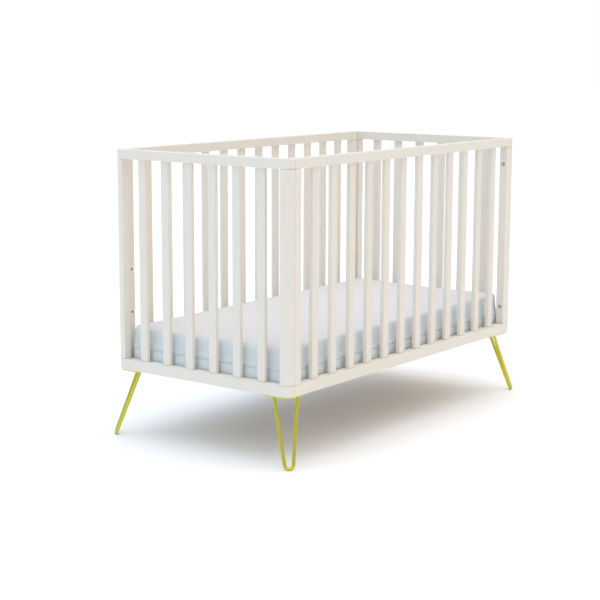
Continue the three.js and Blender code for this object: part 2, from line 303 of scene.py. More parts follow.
def end_outline(low, high, outward, rounded):
    """The plan of a rail or a post of an end panel. Its rounded ends are the cot's corners."""
    thick = high.x - low.x
    inner = low.x if outward > 0 else high.x
    outline = []
    for side, y in ((-1, low.y), (1, high.y)):
        if side in rounded:
            angles = [i / ARC_STEPS * math.pi / 2 for i in range(ARC_STEPS + 1)]
            arc = [(inner + outward * thick * math.cos(a), y - side * thick * (1 - math.sin(a)))
                   for a in angles]
        else:
            arc = [(inner + outward * thick, y), (inner, y)]
        outline += arc if side > 0 else arc[::-1]
    return outline


def slat_row_recipe():
    """A row of slats, each a rounded stave with a shouldered tenon at its top and its bottom."""
    recipe = Recipe("slat_row", Slats="Int", First="Vector", Step="Vector", Turn="Float",
                    Stave="Vector", Tenon="Vector", Rounding="Float", Seed="Int")
    wide, thick, tall = recipe.split(recipe.given("Stave"))
    plan = recipe.add("GeometryNodeCurvePrimitiveQuadrilateral", {}, {"Width": wide, "Height": thick})
    sockets = {"Curve": plan, "Radius": recipe.given("Rounding"), "Count": SLAT_ARC_STEPS}
    rounded = recipe.add("GeometryNodeFilletCurve", {"mode": "POLY"}, sockets)
    stave = recipe.upright(rounded, -0.5 * tall, 0.5 * tall)
    wide, thick, tall = recipe.split(recipe.given("Tenon"))
    plan = recipe.add("GeometryNodeCurvePrimitiveQuadrilateral", {}, {"Width": wide, "Height": thick})
    tenon = recipe.upright(plan, -0.5 * tall, 0.5 * tall)
    slat = recipe.add("GeometryNodeMeshBoolean", {"operation": "UNION"}, {"Mesh 2": [stave, tenon]})
    sockets = {"Count": recipe.given("Slats"), "Start Location": recipe.given("First"),
               "Offset": recipe.given("Step")}
    places = recipe.add("GeometryNodeMeshLine", {}, sockets)
    turned = recipe.add("ShaderNodeCombineXYZ", {}, {"Z": recipe.given("Turn")})
    sockets = {"Points": places, "Instance": slat, "Rotation": turned}
    row = recipe.add("GeometryNodeInstanceOnPoints", {}, sockets)
    batch = recipe.add("FunctionNodeRandomValue", {}, {"Seed": recipe.given("Seed")}, 1)
    sockets = {"Geometry": row, "Name": "batch", "Value": batch}
    recipe.end(recipe.add("GeometryNodeStoreNamedAttribute", {"domain": "INSTANCE"}, sockets))
    return recipe


slat_row = slat_row_recipe()
paint_across = satin_paint("satin_paint_across", 1)
paint_upright = satin_paint("satin_paint_upright", 2)


def slats_like(name, pattern, count, post, room):
    """The row of slats that stands where the panel's CAD slats stand."""
    low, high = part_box(pattern.format(1))
    last_low, last_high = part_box(pattern.format(count))
    post_low, post_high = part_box(post)
    first = (low + high) / 2
    last = (last_low + last_high) / 2
    size = high - low
    stave_height = (post_high - post_low).z
    wide, thick = max(size.x, size.y), min(size.x, size.y)
    inset = 2 * TENON_SHOULDER
    tenon = (wide - inset - SLAT_ROUNDING + room, thick - inset + room, size.z + room)
    turn = math.pi / 2 if size.y > size.x else 0.0
    return slat_row.make(name, Slats=count, First=first, Step=(last - first) / (count - 1),
                         Turn=turn, Stave=(wide, thick, stave_height), Tenon=tenon,
                         Rounding=SLAT_ROUNDING, Seed=count, Material=paint_upright)


END_SLATS = 6
for end, outward in (("head", -1), ("foot", 1)):
    rails = []
    for level in ("top", "bottom"):
        node = f"{end}_{level}_rail"
        low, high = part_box(node)
        plan = end_outline(low, high, outward, (-1, 1))
        rails.append(prism(f"{node}_wood", [plan], low.z, high.z, RAIL_EDGE))
    pattern = end + "_slat_{}"
    cut(rails, slats_like("mortises", pattern, END_SLATS, f"{end}_post_front", 2 * MORTISE_ROOM))
    for rail in rails:
        install(rail, "frame", paint_across, "painted_wood", rail.name[:-len("_wood")])


# ---------------------------------------------------------------- End panels: slats and posts
# Six slats fill each end panel, and one post stands at each end of them. A post has the same
# quarter-round as the rails, and takes the two bolts that hold the long side to it.
POST_EDGE = 0.0018
BOLT_FROM_RAIL = 0.058
BOLT_RADIUS = 0.0035
BOLT_REACH = 0.016
DRILL_SIDES = 24


def drills(places, axis, radius, length):
    """One tool for cut(): a round bar from each place along the axis."""
    shape = bmesh.new()
    turn = Vector(axis).to_track_quat("Z", "Y").to_matrix().to_4x4()
    for place in places:
        middle = Matrix.Translation(Vector(place) + Vector(axis) * length / 2)
        bmesh.ops.create_cone(shape, cap_ends=True, segments=DRILL_SIDES, radius1=radius,
                              radius2=radius, depth=length, matrix=middle @ turn)
    return solid("drills", shape)


def bolt_heights(post_low, post_high):
    return (post_low.z + BOLT_FROM_RAIL, post_high.z - BOLT_FROM_RAIL)


for end, outward in (("head", -1), ("foot", 1)):
    for side, across in (("front", -1), ("back", 1)):
        node = f"{end}_post_{side}"
        low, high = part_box(node)
        plan = end_outline(low, high, outward, (across,))
        post = prism(f"{node}_wood", [plan], low.z, high.z, POST_EDGE)
        inner = low.x if outward > 0 else high.x
        side_low, side_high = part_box(f"{side}_post_{end}")
        y = (side_low.y + side_high.y) / 2
        starts = [(inner - outward * RAIL_EDGE, y, z) for z in bolt_heights(low, high)]
        cut([post], drills(starts, (outward, 0, 0), BOLT_RADIUS, BOLT_REACH + RAIL_EDGE))
        install(post, "frame", paint_upright, "painted_wood", node)
    nodes = [f"{end}_slat_{i + 1}" for i in range(END_SLATS)]
    slats = slats_like(f"{end}_slats", end + "_slat_{}", END_SLATS, f"{end}_post_front", 0.0)
    install(slats, "frame", paint_upright, "painted_wood", *nodes)


# ---------------------------------------------------------------- Long sides
# A long side is a rail at the top, one at the bottom, twelve slats and two square posts, of the
# same painted beech. Its posts are drilled along the cot for the panel bolts, with the heads
# sunk beside the slats, and from inside for the threaded sleeves that take the base bolts.
SIDE_SLATS = 12
HEAD_HOLE_RADIUS = 0.0065
HEAD_HOLE_DEPTH = 0.005
SLEEVE_DEPTH = 0.014
BASE_BOLT_LIFT = 0.017
BASE_STEPS = (0.150, 0.280)
paint_along = satin_paint("satin_paint_along", 0)
base_bolt_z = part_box("base_angle_front")[0].z + BASE_BOLT_LIFT


def rectangle(low, high):
    return [(low.x, low.y), (high.x, low.y), (high.x, high.y), (low.x, high.y)]


for side, across in (("front", -1), ("back", 1)):
    rails = []
    for level in ("top", "bottom"):
        node = f"{side}_{level}_rail"
        low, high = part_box(node)
        rails.append(prism(f"{node}_wood", [rectangle(low, high)], low.z, high.z, RAIL_EDGE))
    pattern = side + "_slat_{:02d}"
    cut(rails, slats_like("mortises", pattern, SIDE_SLATS, f"{side}_post_head", 2 * MORTISE_ROOM))
    for end, outward in (("head", -1), ("foot", 1)):
        node = f"{side}_post_{end}"
        low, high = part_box(node)
        post = prism(f"{node}_wood", [rectangle(low, high)], low.z, high.z, POST_EDGE)
        middle = (low + high) / 2
        beside_slats = high.x if outward < 0 else low.x
        depth = high.x - low.x + 2 * RAIL_EDGE
        heights = bolt_heights(low, high)
        starts = [(beside_slats - outward * RAIL_EDGE, middle.y, z) for z in heights]
        cut([post], drills(starts, (outward, 0, 0), BOLT_RADIUS, depth))
        cut([post], drills(starts, (outward, 0, 0), HEAD_HOLE_RADIUS, HEAD_HOLE_DEPTH + RAIL_EDGE))
        inner = low.y if across > 0 else high.y
        starts = [(middle.x, inner - across * RAIL_EDGE, base_bolt_z + step) for step in BASE_STEPS]
        cut([post], drills(starts, (0, across, 0), BOLT_RADIUS, SLEEVE_DEPTH + RAIL_EDGE))
        install(post, "frame", paint_upright, "painted_wood", node)
        lowest = [(middle.x, inner - across * RAIL_EDGE, base_bolt_z)]
        cut([rails[1]], drills(lowest, (0, across, 0), BOLT_RADIUS, SLEEVE_DEPTH + RAIL_EDGE))
    for rail in rails:
        install(rail, "frame", paint_along, "painted_wood", rail.name[:-len("_wood")])
    nodes = [pattern.format(i + 1) for i in range(SIDE_SLATS)]
    slats = slats_like(f"{side}_slats", pattern, SIDE_SLATS, f"{side}_post_head", 0.0)
    install(slats, "frame", paint_upright, "painted_wood", *nodes)


# ---------------------------------------------------------------- Bolts and sleeves in the posts
# Eight nickel-plated bolts pull the long sides to the end panels. Twelve brass-plated threaded
# sleeves are screwed into the long sides from inside, three at each corner.
BOLT_HEAD_RADIUS = 0.0058
BOLT_HEAD_HEIGHT = 0.0036
LOW_HEAD_HEIGHT = 0.0024
BOLT_SHANK = 0.0029
SOCKET_RADIUS = 0.0023
SOCKET_FLOOR = 0.4
SLEEVE_RADIUS = 0.0034
SLEEVE_BORE = 0.0025
SLEEVE_RIM = 0.0004
THREAD_END = 0.0004
THREAD_ROOM = 0.0001
TURNED_SIDES = 32


def turned(name, profile, sides=TURNED_SIDES):
    """Turns a profile of (radius, height) points about Z. One that is off the axis is a ring."""
    shape = bmesh.new()
    points = [shape.verts.new((radius, 0, height)) for radius, height in profile]
    lines = [shape.edges.new(pair) for pair in zip(points, points[1:])]
    if profile[0][0] > 0:
        lines.append(shape.edges.new((points[-1], points[0])))
    bmesh.ops.spin(shape, geom=points + lines, cent=(0, 0, 0), axis=(0, 0, 1),
                   angle=2 * math.pi, steps=sides)
    bmesh.ops.remove_doubles(shape, verts=shape.verts, dist=1e-6)
    bmesh.ops.recalc_face_normals(shape, faces=shape.faces)
    return solid(name, shape)


def eased_head(radius, height, edge):
    """The profile of a round head that stands on z = 0, from its rim up to the axis."""
    corner = [(radius - edge * (1 - math.cos(a)), height - edge * (1 - math.sin(a)))
              for a in (0, math.pi / 6, math.pi / 3, math.pi / 2)]
    return [(radius, 0), *corner, (0, height)]


def fixings_recipe():
    """The same shape at every point of the carrier, its +Z turned to the point's direction."""
    recipe = Recipe("fixings", Shape="Object")
    sockets = {"Object": recipe.given("Shape")}
    shape = recipe.add("GeometryNodeObjectInfo", {}, sockets, "Geometry")
    kept = {"data_type": "FLOAT_VECTOR"}
    way = recipe.add("GeometryNodeInputNamedAttribute", kept, {"Name": "direction"})
    turn = recipe.add("FunctionNodeAlignRotationToVector", {"axis": "Z"}, {"Vector": way})
    sockets = {"Points": recipe.given("Geometry"), "Instance": shape, "Rotation": turn}
    recipe.end(recipe.add("GeometryNodeInstanceOnPoints", {}, sockets))
    return recipe


fixings = fixings_recipe()


def fixed_at(name, shape, places):
    """The shape at each (place, direction), as one piece."""
    mesh = bmesh.new()
    for place, _ in places:
        mesh.verts.new(place)
    carrier = solid(name, mesh)
    way = carrier.data.attributes.new("direction", "FLOAT_VECTOR", "POINT")
    way.data.foreach_set("vector", [part for _, direction in places for part in direction])
    fixings.make(name, carrier, Shape=shape)
    bpy.data.objects.remove(shape)
    return carrier


def machined(name, tone, dark, roughness, metal):
    """Turned or folded steel: fine lines from the tool, and a few rubbed places."""
    finish = Finish(name)
    lines = finish.noise(finish.place((1, 1, 6)), 900, 3)
    cloud = finish.noise(finish.place(), 60, 3)
    near_edges = finish.ramp(finish.edges(0.0006), (0.02, 0.0), (0.25, 1.0))
    mixed = finish.mix(cloud * 0.7 + near_edges * 0.3, dark, tone)
    gloss = roughness + 0.12 * lines - 0.06 * near_edges
    return finish.shade(mixed, gloss, finish.bump(lines, 0.00001), Metallic=metal)


def socket_bolt(radius, length, head_height):
    """A button-headed bolt with its seat at z = 0, its head up and its shank down."""
    point = [(0, -length), (radius - THREAD_END, -length), (radius, THREAD_END - length)]
    head = eased_head(BOLT_HEAD_RADIUS, head_height, head_height / 3)
    bolt = turned("bolt", [*point, (radius, 0), *head])
    floor = SOCKET_FLOOR * head_height
    above = 2 * head_height
    key = [(0, floor), (SOCKET_RADIUS, floor), (SOCKET_RADIUS, above), (0, above)]
    cut([bolt], turned("key", key, 6))
    return bolt


nickel = machined("nickel_plated_steel", (0.66, 0.63, 0.58), (0.50, 0.48, 0.44), 0.34, 0.7)
bronzed = machined("bronzed_sleeve", (0.22, 0.16, 0.08), (0.10, 0.07, 0.04), 0.36, 0.9)
places = []
sleeve_places = []
for side, across in (("front", -1), ("back", 1)):
    for end, outward in (("head", -1), ("foot", 1)):
        low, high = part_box(f"{side}_post_{end}")
        middle = (low + high) / 2
        seat = (high.x if outward < 0 else low.x) + outward * HEAD_HOLE_DEPTH
        places += [((seat, middle.y, z), (-outward, 0, 0)) for z in bolt_heights(low, high)]
        inner = low.y if across > 0 else high.y
        heights = [base_bolt_z, *[base_bolt_z + step for step in BASE_STEPS]]
        sleeve_places += [((middle.x, inner, z), (0, -across, 0)) for z in heights]
post_low, post_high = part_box("front_post_head")
shank = post_high.x - post_low.x - HEAD_HOLE_DEPTH + BOLT_REACH - RAIL_EDGE
bolts = fixed_at("panel_bolts", socket_bolt(BOLT_SHANK, shank, BOLT_HEAD_HEIGHT), places)
install(bolts, "frame", nickel, None)

sleeve_end = SLEEVE_RIM - SLEEVE_DEPTH
sleeve = [(SLEEVE_BORE + SLEEVE_RIM, -SLEEVE_RIM), (SLEEVE_RADIUS, -SLEEVE_RIM),
          (SLEEVE_RADIUS, sleeve_end), (SLEEVE_BORE, sleeve_end), (SLEEVE_BORE, -2 * SLEEVE_RIM)]
sleeves = fixed_at("threaded_sleeves", turned("sleeve", sleeve), sleeve_places)
install(sleeves, "frame", bronzed, None)


# ---------------------------------------------------------------- Hairpin legs
# Each leg is one 10 mm steel rod bent into a tight V and welded under an L-shaped plate, all
# painted in a yellow brass colour. It leans out along the corner's diagonal. Four screws hold
# its plate under the two bottom rails.
ROD_RADIUS = 0.005
ROD_SIDES = 24
BEND_RADIUS = 0.013
BEND_STEPS = 24
ROD_SPREAD = 0.068
LEG_INSET = 0.049
FOOT_OUTSET = 0.004
FOOT_FLAT = 0.0005
PLATE_SETBACK = 0.003
PLATE_REACH = 0.086
PLATE_ARM = 0.024
PLATE_THICKNESS = 0.003
PLATE_EDGE = 0.0006
SCREW_PLACES = (0.038, 0.074)
SCREW_RADIUS = 0.0025
WELD = 0.0028
WELD_ROOT = 0.0008
WELD_SIDES = 40
PAN_RADIUS = 0.0044
PAN_HEIGHT = 0.0026
PAN_EDGE = 0.0018
SCREW_LENGTH = 0.018
SCREW_SHANK = 0.0019
SCREW_TIP = 0.0008
CROSS_WIDTH = 0.0011
CROSS_REACH = 0.0026
CORNERS = (("leg_head_front", -1, -1), ("leg_foot_front", 1, -1),
           ("leg_foot_back", 1, 1), ("leg_head_back", -1, 1))
rail_low, rail_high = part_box("head_bottom_rail")
corner_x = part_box("foot_bottom_rail")[1].x
corner_y = rail_high.y
panel = rail_high.x - rail_low.x
plate_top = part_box("leg_head_front")[1].z
plate_bottom = plate_top - PLATE_THICKNESS


def brass_paint():
    """Gold-coloured metallic lacquer with a thin clear coat, a little uneven."""
    finish = Finish("brass_paint")
    flake = finish.noise(finish.place(), 2600, 2)
    cloud = finish.noise(finish.place(), 24, 4)
    drawn = finish.noise(finish.place((1, 1, 0.05)), 700, 3)
    tone = finish.mix(cloud, (0.69, 0.655, 0.04), (0.53, 0.50, 0.025))
    tone = finish.mix(flake * 0.25, tone, (0.84, 0.83, 0.20))
    rough = 0.24 + 0.10 * cloud + 0.05 * drawn
    skin = finish.bump(cloud, 0.00006, finish.bump(drawn, 0.00003))
    return finish.shade(tone, rough, skin, Metallic=0.9, Coat_Weight=0.2, Coat_Roughness=0.12)


def rods_recipe():
    """A round rod along each line of the carrier, bent where the line has a corner."""
    recipe = Recipe("bent_rods", Radius="Float", Bend="Float")
    line = recipe.add("GeometryNodeMeshToCurve", {}, {"Mesh": recipe.given("Geometry")})
    sockets = {"Curve": line, "Radius": recipe.given("Bend"), "Count": BEND_STEPS}
    path = recipe.add("GeometryNodeFilletCurve", {"mode": "POLY"}, sockets)
    circle = {"Radius": recipe.given("Radius"), "Resolution": ROD_SIDES}
    section = recipe.add("GeometryNodeCurvePrimitiveCircle", {}, circle)
    sockets = {"Curve": path, "Profile Curve": section, "Fill Caps": True}
    recipe.end(recipe.add("GeometryNodeCurveToMesh", {}, sockets))
    return recipe


def hairpin_corners(x, y):
    """The two tops of a leg's rod and the point at which its straight stretches would meet."""
    reach_x, reach_y = corner_x + FOOT_OUTSET, corner_y + FOOT_OUTSET
    foot = Vector((x * reach_x, y * reach_y, ROD_RADIUS - FOOT_FLAT))
    into_plate = plate_bottom + PLATE_THICKNESS / 2
    head = Vector((x * (corner_x - LEG_INSET), y * (corner_y - LEG_INSET), into_plate))
    up = head - foot
    rise = up.length - BEND_RADIUS
    up.normalize()
    half = ROD_SPREAD / 2
    lean = math.atan2(half, rise) - math.asin(BEND_RADIUS / math.hypot(half, rise))
    apex = foot + up * (BEND_RADIUS - BEND_RADIUS / math.sin(lean))
    across = Vector((x, -y, 0)).normalized() * half
    return head + across, apex, head - across


def plate_outline(x, y):
    """An L that follows the corner, with a slanting edge between its arms."""
    arm = PLATE_SETBACK + PLATE_ARM
    radius = panel - PLATE_SETBACK
    angles = [math.pi * (1 + i / ARC_STEPS / 2) for i in range(ARC_STEPS + 1)]
    outline = [(panel + radius * math.cos(a), panel + radius * math.sin(a)) for a in angles]
    outline += [(PLATE_REACH, PLATE_SETBACK), (PLATE_REACH, arm)]
    outline += [(arm, PLATE_REACH), (PLATE_SETBACK, PLATE_REACH)]
    return [(x * (corner_x - u), y * (corner_y - v)) for u, v in outline]


brass = brass_paint()
wires = bmesh.new()
weld_places = []
for _, x, y in CORNERS:
    points = hairpin_corners(x, y)
    ends = [wires.verts.new(point) for point in points]
    wires.edges.new(ends[:2])
    wires.edges.new(ends[1:])
    weld_places += [((top.x, top.y, plate_bottom), (0, 0, -1)) for top in (points[0], points[2])]
legs = solid("hairpin_rods", wires)
rods_recipe().make("hairpin_rods", legs, Radius=ROD_RADIUS, Bend=BEND_RADIUS)
for vertex in legs.data.vertices:
    vertex.co.z = max(vertex.co.z, 0.0)
install(legs, "frame", brass, "brass_painted_steel", *[name for name, _, _ in CORNERS])

outlines = [plate_outline(x, y) for _, x, y in CORNERS]
plates = prism("leg_plates", outlines, plate_bottom, plate_top, PLATE_EDGE)
screw_places = []
for _, x, y in CORNERS:
    for near, far in [(place, panel / 2) for place in SCREW_PLACES]:
        for u, v in ((near, far), (far, near)):
            screw_places.append((x * (corner_x - u), y * (corner_y - v), plate_bottom))
holes = [(u, v, w - PLATE_THICKNESS) for u, v, w in screw_places]
cut([plates], drills(holes, (0, 0, 1), SCREW_RADIUS, 3 * PLATE_THICKNESS))
install(plates, "frame", brass, "brass_painted_steel")

root = ROD_RADIUS - WELD_ROOT
bead = [(root, 0.0), (ROD_RADIUS + WELD, 0.0), (ROD_RADIUS + 0.7 * WELD, 0.45 * WELD),
        (ROD_RADIUS + 0.35 * WELD, 0.8 * WELD), (root, WELD)]
weld = turned("weld", bead, WELD_SIDES)
for vertex in weld.data.vertices:
    angle = math.atan2(vertex.co.y, vertex.co.x)
    if Vector(vertex.co.xy).length > ROD_RADIUS:
        vertex.co.xy *= 1 + 0.045 * math.sin(13 * angle) + 0.03 * math.sin(5 * angle)
install(fixed_at("leg_welds", weld, weld_places), "frame", brass, "brass_painted_steel")

point = [(0, -SCREW_LENGTH), (SCREW_TIP, 0.002 - SCREW_LENGTH), (SCREW_SHANK, 0.005 - SCREW_LENGTH),
         (SCREW_SHANK, 0)]
screw = turned("screw", [*point, *eased_head(PAN_RADIUS, PAN_HEIGHT, PAN_EDGE)])
bar_corner = Vector((CROSS_REACH, CROSS_WIDTH / 2))
bar = rectangle(-bar_corner, bar_corner)
for outline in (bar, [(v, u) for u, v in bar[::-1]]):
    cut([screw], prism("driver", [outline], PAN_HEIGHT / 2, 2 * PAN_HEIGHT, 0))
zinc = machined("zinc_plated_steel", (0.62, 0.62, 0.60), (0.46, 0.46, 0.45), 0.28, 1.0)
screws = fixed_at("plate_screws", screw, [(place, (0, 0, -1)) for place in screw_places])
install(screws, "frame", zinc, None)


# ---------------------------------------------------------------- Mattress base
# A folded steel angle, powder coated white, is bolted along each long side, and a slotted birch
# plywood board lies on their flanges. The whole base is bolted on at one of three heights.
ANGLE_WALL = 0.0025
FOLD_RADIUS = 0.0035
FOLD_STEPS = 6
SHEET_EDGE = 0.0003
BOARD_EDGE = 0.0008
SLOT_ROWS = 3
SLOT_COLUMNS = 9
SLOT_RADIUS = 0.011
SLOT_MARGIN = 0.060
SLOT_BRIDGE = 0.044
PLIES = 7
WASHER_RADIUS = 0.0062
WASHER_THICKNESS = 0.001


def powder_coat():
    finish = Finish("powder_coat")
    peel = finish.noise(finish.place(), 650, 3)
    cloud = finish.noise(finish.place(), 20, 3)
    tone = finish.mix(cloud, (0.78, 0.78, 0.76), (0.72, 0.72, 0.70))
    return finish.shade(tone, 0.40 + 0.12 * peel, finish.bump(peel, 0.00005))


def birch_plywood(low, high):
    """Rotary-cut birch: broad flames on the faces, and the plies' stripes on every cut edge."""
    finish = Finish("birch_plywood")
    warp = finish.noise(finish.place((0.6, 5, 1)), 3.0, 4)
    flames = finish.ramp(finish.noise(finish.place((0.8, 9, 1)), 5.0, 6, 0.6) + warp * 0.4,
                         (0.45, 0.0), (0.85, 1.0))
    pores = finish.noise(finish.place((0.06, 1, 1)), 900, 3)
    face = finish.mix(flames, (0.60, 0.54, 0.44), (0.50, 0.44, 0.35))
    height = finish.split(finish.place())[2]
    ply = ((height - low) * (math.pi * PLIES / (high - low))).sine()
    stripes = finish.mix(ply * ply, (0.50, 0.33, 0.18), (0.70, 0.52, 0.33))
    upwards = finish.split(finish.add("ShaderNodeTexCoord", output="Normal"))[2]
    on_face = finish.ramp(upwards * upwards, (0.3, 0.0), (0.6, 1.0))
    tone = finish.mix(pores * 0.12, finish.mix(on_face, stripes, face), (0.38, 0.25, 0.13))
    return finish.shade(tone, 0.52 + 0.16 * pores, finish.bump(pores, 0.00006))


def folded_angle(name, edge_y, inward, low, high):
    """An L folded from sheet steel: its wall stands at edge_y and its flange points inward."""
    flange = abs((high - low).y)
    outer = FOLD_RADIUS
    inner = outer - ANGLE_WALL
    arcs = [math.pi * (1 + i / FOLD_STEPS / 2) for i in range(FOLD_STEPS + 1)]
    section = [(outer + outer * math.cos(a), outer + outer * math.sin(a)) for a in arcs]
    section += [(flange, 0), (flange, ANGLE_WALL)]
    section += [(outer + inner * math.cos(a), outer + inner * math.sin(a)) for a in reversed(arcs)]
    section += [(ANGLE_WALL, high.z - low.z), (0, high.z - low.z)]
    outline = [(edge_y + inward * across, low.z + up) for across, up in section]
    lengthwise = Matrix(((0, 0, 1, 0), (1, 0, 0, 0), (0, 1, 0, 0), (0, 0, 0, 1)))
    return prism(name, [outline], low.x, high.x, SHEET_EDGE, lengthwise)


def slot_outline(x, y, length):
    reach = length / 2 - SLOT_RADIUS
    outline = []
    for side, start in ((1, 0), (-1, math.pi)):
        angles = [start + i / ARC_STEPS * math.pi for i in range(ARC_STEPS + 1)]
        middle = y + side * reach
        outline += [(x + SLOT_RADIUS * math.cos(a), middle + SLOT_RADIUS * math.sin(a))
                    for a in angles]
    return outline


coat = powder_coat()
bolt_places = []
washer_places = []
for side, inward in (("front", 1), ("back", -1)):
    node = f"base_angle_{side}"
    low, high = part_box(node)
    edge_y = low.y if inward > 0 else high.y
    angle = folded_angle(f"{node}_steel", edge_y, inward, low, high)
    post_low, post_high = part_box(f"{side}_post_head")
    bolt_x = (post_low.x + post_high.x) / 2
    starts = [(x, edge_y - inward * ANGLE_WALL, base_bolt_z) for x in (bolt_x, -bolt_x)]
    cut([angle], drills(starts, (0, inward, 0), BOLT_RADIUS, 3 * ANGLE_WALL))
    install(angle, "mattress_base", coat, "white_coated_steel", node)
    for x in (bolt_x, -bolt_x):
        face = edge_y + inward * ANGLE_WALL
        washer_places.append(((x, face, base_bolt_z), (0, inward, 0)))
        bolt_places.append(((x, face + inward * WASHER_THICKNESS, base_bolt_z), (0, inward, 0)))

washer = [(BOLT_SHANK, 0), (WASHER_RADIUS, 0), (WASHER_RADIUS, WASHER_THICKNESS),
          (BOLT_SHANK, WASHER_THICKNESS)]
washers = fixed_at("base_washers", turned("washer", washer), washer_places)
install(washers, "mattress_base", zinc, None)
shank = WASHER_THICKNESS + ANGLE_WALL + SLEEVE_DEPTH - RAIL_EDGE / 2
low_bolt = socket_bolt(SLEEVE_BORE - THREAD_ROOM, shank, LOW_HEAD_HEIGHT)
bolts = fixed_at("base_bolts", low_bolt, bolt_places)
install(bolts, "mattress_base", zinc, None)

low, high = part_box("base_board")
board = prism("base_board_plywood", [rectangle(low, high)], low.z, high.z, BOARD_EDGE)
size = high - low
column_step = (size.x - 2 * SLOT_MARGIN - 2 * SLOT_RADIUS) / (SLOT_COLUMNS - 1)
slot_length = (size.y - 2 * SLOT_MARGIN - (SLOT_ROWS - 1) * SLOT_BRIDGE) / SLOT_ROWS
slots = [slot_outline((column - (SLOT_COLUMNS - 1) / 2) * column_step,
                      (row - (SLOT_ROWS - 1) / 2) * (slot_length + SLOT_BRIDGE), slot_length)
         for column in range(SLOT_COLUMNS) for row in range(SLOT_ROWS)]
cut([board], prism("slots", slots, low.z - size.z, high.z + size.z, 0))
install(board, "mattress_base", birch_plywood(low.z, high.z), "birch_plywood", "base_board")


# ---------------------------------------------------------------- Mattress
# A block of foam in a knitted cotton cover. The foam fills the cover and crowns it a little. The
# cover is in two halves, which meet at a zip below the middle of its sides, where it is drawn in.
MATTRESS_CORNER = 0.010
MATTRESS_ROLL = 0.008
ROLL_STEPS = 4
SWELL = 0.0025
SWELL_MOST = 0.0045
PLAN_STEP = 0.02
COVER_VOXEL = 0.009
STUFFING_FRAMES = 20
STUFFING_PRESSURE = 4.0
ZIP_RISE = 0.0534
HELD_BAND = 0.0075
GROOVE_DROP = 0.0045
GROOVE_HALF = 0.0035
GROOVE_DEPTH = 0.0018
GROOVE_SHARES = (-1, -0.6, -0.25, 0.25, 0.6, 1)
PUCKER = 0.25
# Painted light: the cover is one fabric, but its top is painted warm white and its sides pale
# blue-grey, for the warm and cool light that falls on them.
COTTON_TOP_PAINTED_WARM = (0.73, 0.69, 0.67)
COTTON_SIDE_PAINTED_COOL = (0.73, 0.815, 0.83)
COTTON_SHADE = (0.66, 0.665, 0.69)
COTTON_SLUB = (0.62, 0.63, 0.66)


def ring(half_x, half_y, radius, step):
    """Points round a rounded rectangle, about a step apart, each with its outward direction."""
    found = []
    corners = ((1, 1, 0), (-1, 1, 1), (-1, -1, 2), (1, -1, 3))
    for (x, y, quarter), (next_x, next_y, _) in zip(corners, corners[1:] + corners[:1]):
        centre = Vector((x * (half_x - radius), y * (half_y - radius)))
        count = max(6, round(radius * math.pi / 2 / step))
        for i in range(count + 1):
            angle = (quarter + i / count) * math.pi / 2
            out = Vector((math.cos(angle), math.sin(angle)))
            found.append((centre + out * radius, out))
        start = found[-1][0]
        end = Vector((next_x * (half_x - radius), next_y * (half_y - radius))) + out * radius
        count = round((end - start).length / step)
        found += [(start.lerp(end, i / count), out) for i in range(1, count)]
    return found


def stuffed_cover(low, high, seam):
    """The cover, filled by cloth simulation. Its underside and the band at the seam are held."""
    half = (high - low) / 2 - Vector((SWELL, SWELL, 0))
    plan = [point for point, _ in ring(half.x, half.y, MATTRESS_CORNER - SWELL, PLAN_STEP)]
    cover = prism("mattress_cover", [plan], low.z, high.z - SWELL, MATTRESS_ROLL, steps=ROLL_STEPS)
    remesh = cover.modifiers.new("remesh", "REMESH")
    remesh.mode = "VOXEL"
    remesh.voxel_size = COVER_VOXEL
    settle(cover)
    start = [vertex.co.copy() for vertex in cover.data.vertices]
    inflate(cover, low.z, seam)
    for vertex, place in zip(cover.data.vertices, start):
        moved = vertex.co - place
        if moved.length > SWELL_MOST:
            vertex.co = place + moved * (SWELL_MOST / moved.length)
        vertex.co.z = max(vertex.co.z, low.z)
    finer = cover.modifiers.new("finer", "SUBSURF")
    finer.levels = finer.render_levels = 1
    settle(cover)
    return cover


def inflate(cover, bottom, seam):
    held = cover.vertex_groups.new(name="held")
    for vertex in cover.data.vertices:
        on_side = abs(vertex.normal.z) < 0.4 and abs(vertex.co.z - seam) < HELD_BAND
        if on_side or vertex.co.z < bottom + COVER_VOXEL / 3:
            held.add([vertex.index], 1.0, "REPLACE")
    cloth = cover.modifiers.new("cloth", "CLOTH")
    cloth.settings.quality = 5
    cloth.settings.mass = 0.4
    cloth.settings.tension_stiffness = 12
    cloth.settings.compression_stiffness = 12
    cloth.settings.shear_stiffness = 5
    cloth.settings.bending_stiffness = 3
    cloth.settings.use_pressure = True
    cloth.settings.uniform_pressure_force = STUFFING_PRESSURE
    cloth.settings.shrink_min = -0.012
    cloth.settings.vertex_group_mass = "held"
    cloth.settings.effector_weights.gravity = 0
    cloth.point_cache.frame_start = 1
    cloth.point_cache.frame_end = STUFFING_FRAMES
    for number in range(1, STUFFING_FRAMES + 1):
        bpy.context.scene.frame_set(number)
    settle(cover)
    bpy.context.scene.frame_set(1)


def draw_in(cover, height):
    """The fold under the zip: a narrow groove all round, puckered a little by the stitching."""
    shape = bmesh.new()
    shape.from_mesh(cover.data)
    for share in GROOVE_SHARES:
        everything = [*shape.verts, *shape.edges, *shape.faces]
        plane = (0, 0, height + share * GROOVE_HALF)
        bmesh.ops.bisect_plane(shape, geom=everything, plane_co=plane, plane_no=(0, 0, 1), dist=1e-5)
    shape.normal_update()
    inwards = [(vertex, -vertex.normal) for vertex in shape.verts]
    for vertex, way in inwards:
        near = 1 - abs(vertex.co.z - height) / GROOVE_HALF
        if near > 0:
            pucker = 1 + PUCKER * math.sin(vertex.co.x * 210) * math.sin(vertex.co.y * 190)
            vertex.co += Vector((way.x, way.y, 0)) * near * GROOVE_DEPTH * pucker
    shape.to_mesh(cover.data)
    shape.free()


